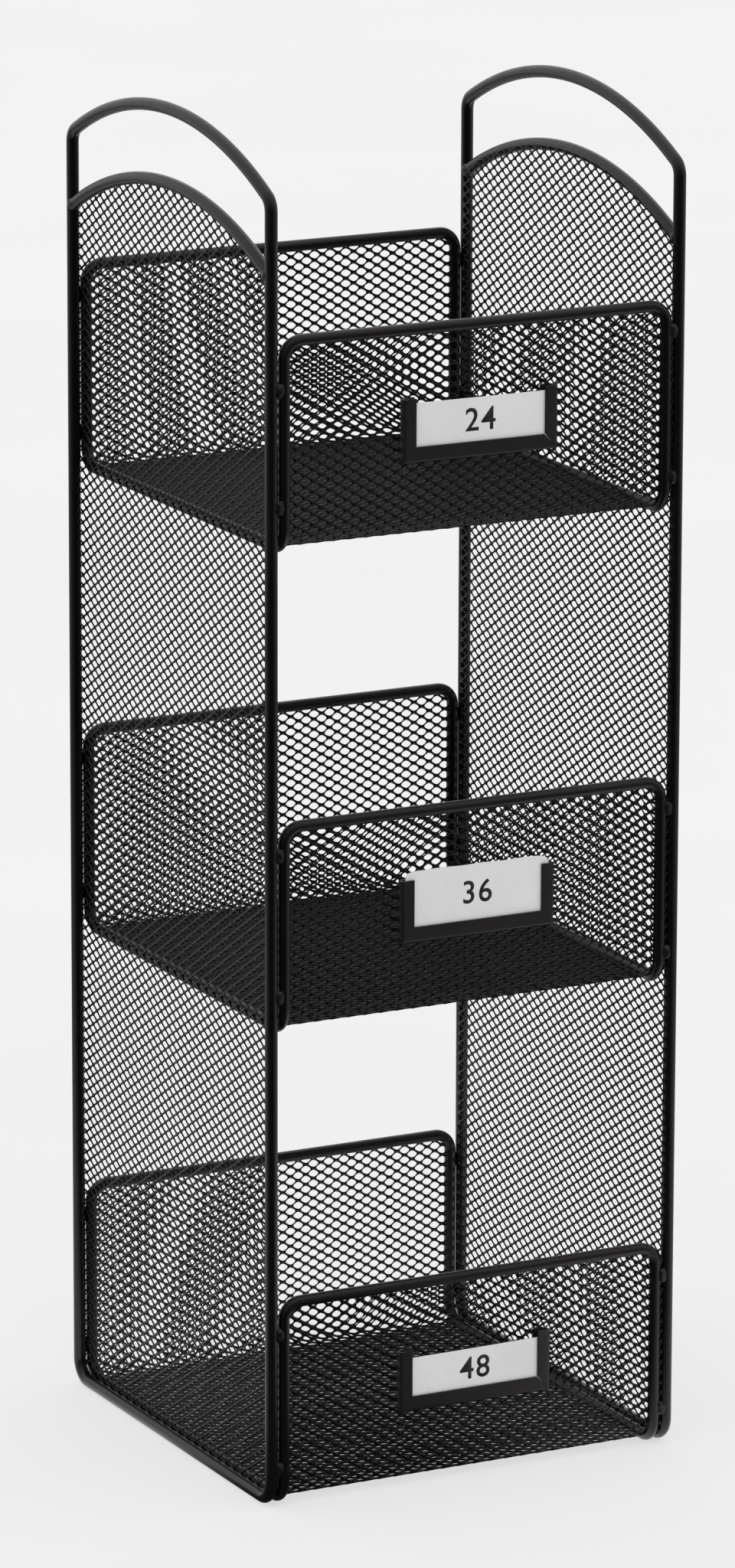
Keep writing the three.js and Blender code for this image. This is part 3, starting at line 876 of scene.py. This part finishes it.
def printed(level, text):
    """A plain number on the card, as a thin layer of ink that follows the card."""
    c = bpy.data.curves.new(f"{level}_number", "FONT")
    c.body = text
    c.size = 10.8
    c.offset = 0.10
    c.space_character = 1.12
    c.align_x, c.align_y = "CENTER", "CENTER"
    c.resolution_u = 10
    o = bpy.data.objects.new(f"{level}_number", c)
    bpy.context.scene.collection.objects.link(o)
    bpy.context.view_layer.update()
    me = bpy.data.meshes.new_from_object(o.evaluated_get(bpy.context.evaluated_depsgraph_get()))
    bpy.data.objects.remove(o)
    bpy.data.curves.remove(c)
    bm = bmesh.new()
    bm.from_mesh(me)
    bmesh.ops.remove_doubles(bm, verts=bm.verts, dist=1e-4)
    flat = list(bm.faces)
    up = bmesh.ops.extrude_face_region(bm, geom=flat)
    for v in (g for g in up["geom"] if isinstance(g, bmesh.types.BMVert)):
        v.co.z = 1.0
    bmesh.ops.recalc_face_normals(bm, faces=bm.faces)
    bmesh.ops.triangulate(bm, faces=bm.faces)
    bm.to_mesh(me)
    bm.free()
    co = np.array([v.co[:] for v in me.vertices])
    x, z, layer = co[:, 0].copy(), co[:, 1].copy(), co[:, 2]
    shown = CARD_H[level] - (FLANGE_BOTTOM - CARD_LIFT)  # the height of card that shows above the bottom flange
    z = z - (z.max() + z.min()) / 2 + FLANGE_BOTTOM - CARD_LIFT + shown * 0.5
    x = x - (x.max() + x.min()) / 2
    off = -CARD_T / 2 - 0.004 - 0.026 * layer
    p = np.column_stack(card_shape(level)(x, z, off)) + (0, 0, TRAY_Z[level] + HOLDER_Z + CARD_LIFT)
    me.vertices.foreach_set("co", (p * MM).astype(np.float32).ravel())
    me.update()
    bm = bmesh.new()
    bm.from_mesh(me)
    bmesh.ops.recalc_face_normals(bm, faces=bm.faces)
    bm.to_mesh(me)
    bm.free()
    me.name = f"{level}_label_number"
    me.materials.clear()
    me.materials.append(INK)
    o = bpy.data.objects.new(f"{level}_label_number", me)
    bpy.context.scene.collection.objects.link(o)
    return o


for level, text in (("top", "24"), ("middle", "36"), ("bottom", "48")):
    o = card(level)
    stand_for(o, f"{level}_label_card", f"{level}_card")
    n = printed(level, text)
    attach(n, f"{level}_card")

# ---------------------------------------------------------------- floor, light, camera


def floor_material():
    m, t, bsdf = material("pale_floor")
    soft = noise_node(t, 3.0, 3.0, 0.5, 1.0)
    t.links.new(two_colours(t, soft, (0.19, 0.19, 0.19), (0.21, 0.21, 0.21)), bsdf.inputs["Base Color"])
    bsdf.inputs["Roughness"].default_value = 0.9
    bsdf.inputs["Specular IOR Level"].default_value = 0.0
    # lit through from below, as a light table is, so that the tower throws next to no shadow
    bsdf.inputs["Emission Color"].default_value = (1, 1, 1, 1)
    bsdf.inputs["Emission Strength"].default_value = 0.64
    return m


def disc(name, radius, z, mat):
    me = bpy.data.meshes.new(name)
    w = np.linspace(0, 2 * math.pi, 97)[:-1]
    me.from_pydata([(radius * math.cos(a), radius * math.sin(a), z) for a in w], [], [list(range(96))])
    me.materials.append(mat)
    o = bpy.data.objects.new(name, me)
    bpy.context.scene.collection.objects.link(o)
    return o


ground = disc("floor", 60.0, -0.00005, floor_material())
ground.visible_glossy = False


def table_glow():
    """What the paint sees of the table: white around the tower, fading outwards, dark towards the front."""
    m = bpy.data.materials.new("table_glow")
    m.use_nodes = True
    t = m.node_tree
    t.nodes.clear()
    out = t.nodes.new("ShaderNodeOutputMaterial")
    glow = t.nodes.new("ShaderNodeEmission")
    where = t.nodes.new("ShaderNodeTexCoord")
    far = t.nodes.new("ShaderNodeVectorMath")
    far.operation = "LENGTH"
    t.links.new(where.outputs["Object"], far.inputs[0])
    ramp = t.nodes.new("ShaderNodeValToRGB")
    e = ramp.color_ramp.elements
    e[0].position, e[0].color = 0.0, (1, 1, 1, 1)
    e[1].position, e[1].color = 1.0, (0.18, 0.18, 0.18, 1)
    for pos, v in ((0.12, 0.92), (0.38, 0.46), (0.71, 0.29)):
        n = e.new(pos)
        n.color = (v, v, v, 1)
    t.links.new(spread(t, far.outputs["Value"], 0.0, 1.4, 0.0, 1.0), ramp.inputs["Fac"])
    along = t.nodes.new("ShaderNodeVectorMath")
    along.operation = "NORMALIZE"
    t.links.new(where.outputs["Object"], along.inputs[0])
    ahead = t.nodes.new("ShaderNodeVectorMath")
    ahead.operation = "DOT_PRODUCT"
    ahead.inputs[1].default_value = (-0.456, -0.890, 0.0)
    t.links.new(along.outputs["Vector"], ahead.inputs[0])
    product = t.nodes.new("ShaderNodeMath")
    product.operation = "MULTIPLY"
    t.links.new(ramp.outputs["Color"], product.inputs[0])
    t.links.new(spread(t, ahead.outputs["Value"], 0.30, 0.90, 1.1, 0.05), product.inputs[1])
    t.links.new(product.outputs["Value"], glow.inputs["Strength"])
    t.links.new(glow.outputs["Emission"], out.inputs["Surface"])
    return m


table = disc("table", 1.4, -0.00002, table_glow())
table.visible_camera = False
table.visible_diffuse = False
table.visible_transmission = False
table.visible_shadow = False


def studio():
    """A bright sweep behind and above the tower, a darker room in front, and white where the camera looks."""
    world = bpy.data.worlds.new("studio")
    bpy.context.scene.world = world
    world.use_nodes = True
    t = world.node_tree
    t.nodes.clear()
    out = t.nodes.new("ShaderNodeOutputWorld")
    where = t.nodes.new("ShaderNodeTexCoord")

    def towards(direction):
        n = t.nodes.new("ShaderNodeVectorMath")
        n.operation = "DOT_PRODUCT"
        n.inputs[1].default_value = Vector(direction).normalized()
        t.links.new(where.outputs["Generated"], n.inputs[0])
        return n.outputs["Value"]

    ramp = t.nodes.new("ShaderNodeValToRGB")
    e = ramp.color_ramp.elements
    e[0].position, e[0].color = 0.0, (0.02, 0.02, 0.02, 1)
    e[1].position, e[1].color = 1.0, (0.95, 0.95, 0.95, 1)
    for pos, v in ((0.12, 0.04), (0.27, 0.18), (0.40, 0.38), (0.65, 0.70)):
        n = e.new(pos)
        n.color = (v, v, v, 1)
    t.links.new(spread(t, towards((0.366, 0.711, 0.6)), -1.0, 1.0, 0.0, 1.0), ramp.inputs["Fac"])
    dome = t.nodes.new("ShaderNodeBackground")
    dome.inputs["Strength"].default_value = 1.0
    t.links.new(ramp.outputs["Color"], dome.inputs["Color"])
    white = t.nodes.new("ShaderNodeBackground")
    white.inputs["Color"].default_value = (1, 1, 1, 1)
    white.inputs["Strength"].default_value = 1.0
    path = t.nodes.new("ShaderNodeLightPath")
    mix = t.nodes.new("ShaderNodeMixShader")
    t.links.new(path.outputs["Is Camera Ray"], mix.inputs["Fac"])
    t.links.new(dome.outputs["Background"], mix.inputs[1])
    t.links.new(white.outputs["Background"], mix.inputs[2])
    t.links.new(mix.outputs["Shader"], out.inputs["Surface"])


def wash(name, direction, angle, strength):
    """Broad even light from a direction, too soft and too large to show in the paint."""
    lamp = bpy.data.lights.new(name, "SUN")
    lamp.angle = math.radians(angle)
    lamp.energy = strength
    o = bpy.data.objects.new(name, lamp)
    o.rotation_euler = (-Vector(direction)).to_track_quat("-Z", "Y").to_euler()
    o.visible_glossy = False
    bpy.context.scene.collection.objects.link(o)
    return o


studio()
wash("overhead", (-0.25, -0.35, 1.0), 110.0, 1.9)

az, el, roll = math.radians(-27.128), math.radians(14.198), math.radians(0.160)
away = Vector((math.sin(az) * math.cos(el), -math.cos(az) * math.cos(el), math.sin(el)))
right = Vector((math.cos(az), math.sin(az), 0))
up = right.cross(-away)
target = Vector((0, 0, 0.22108)) + right * -0.00115
place = target + away * 2.75715
r2 = right * math.cos(roll) + up * math.sin(roll)
u2 = -right * math.sin(roll) + up * math.cos(roll)
cam = bpy.data.cameras.new("camera")
cam.sensor_width = 36.0
cam.lens = 188.99
cam.clip_end = 300.0
eye = bpy.data.objects.new("camera", cam)
eye.matrix_world = Matrix(
    ((r2.x, u2.x, away.x, place.x), (r2.y, u2.y, away.y, place.y), (r2.z, u2.z, away.z, place.z), (0, 0, 0, 1))
)
bpy.context.scene.collection.objects.link(eye)
bpy.context.scene.camera = eye

bpy.context.scene.view_settings.view_transform = "Standard"
bpy.context.scene.view_settings.look = "None"
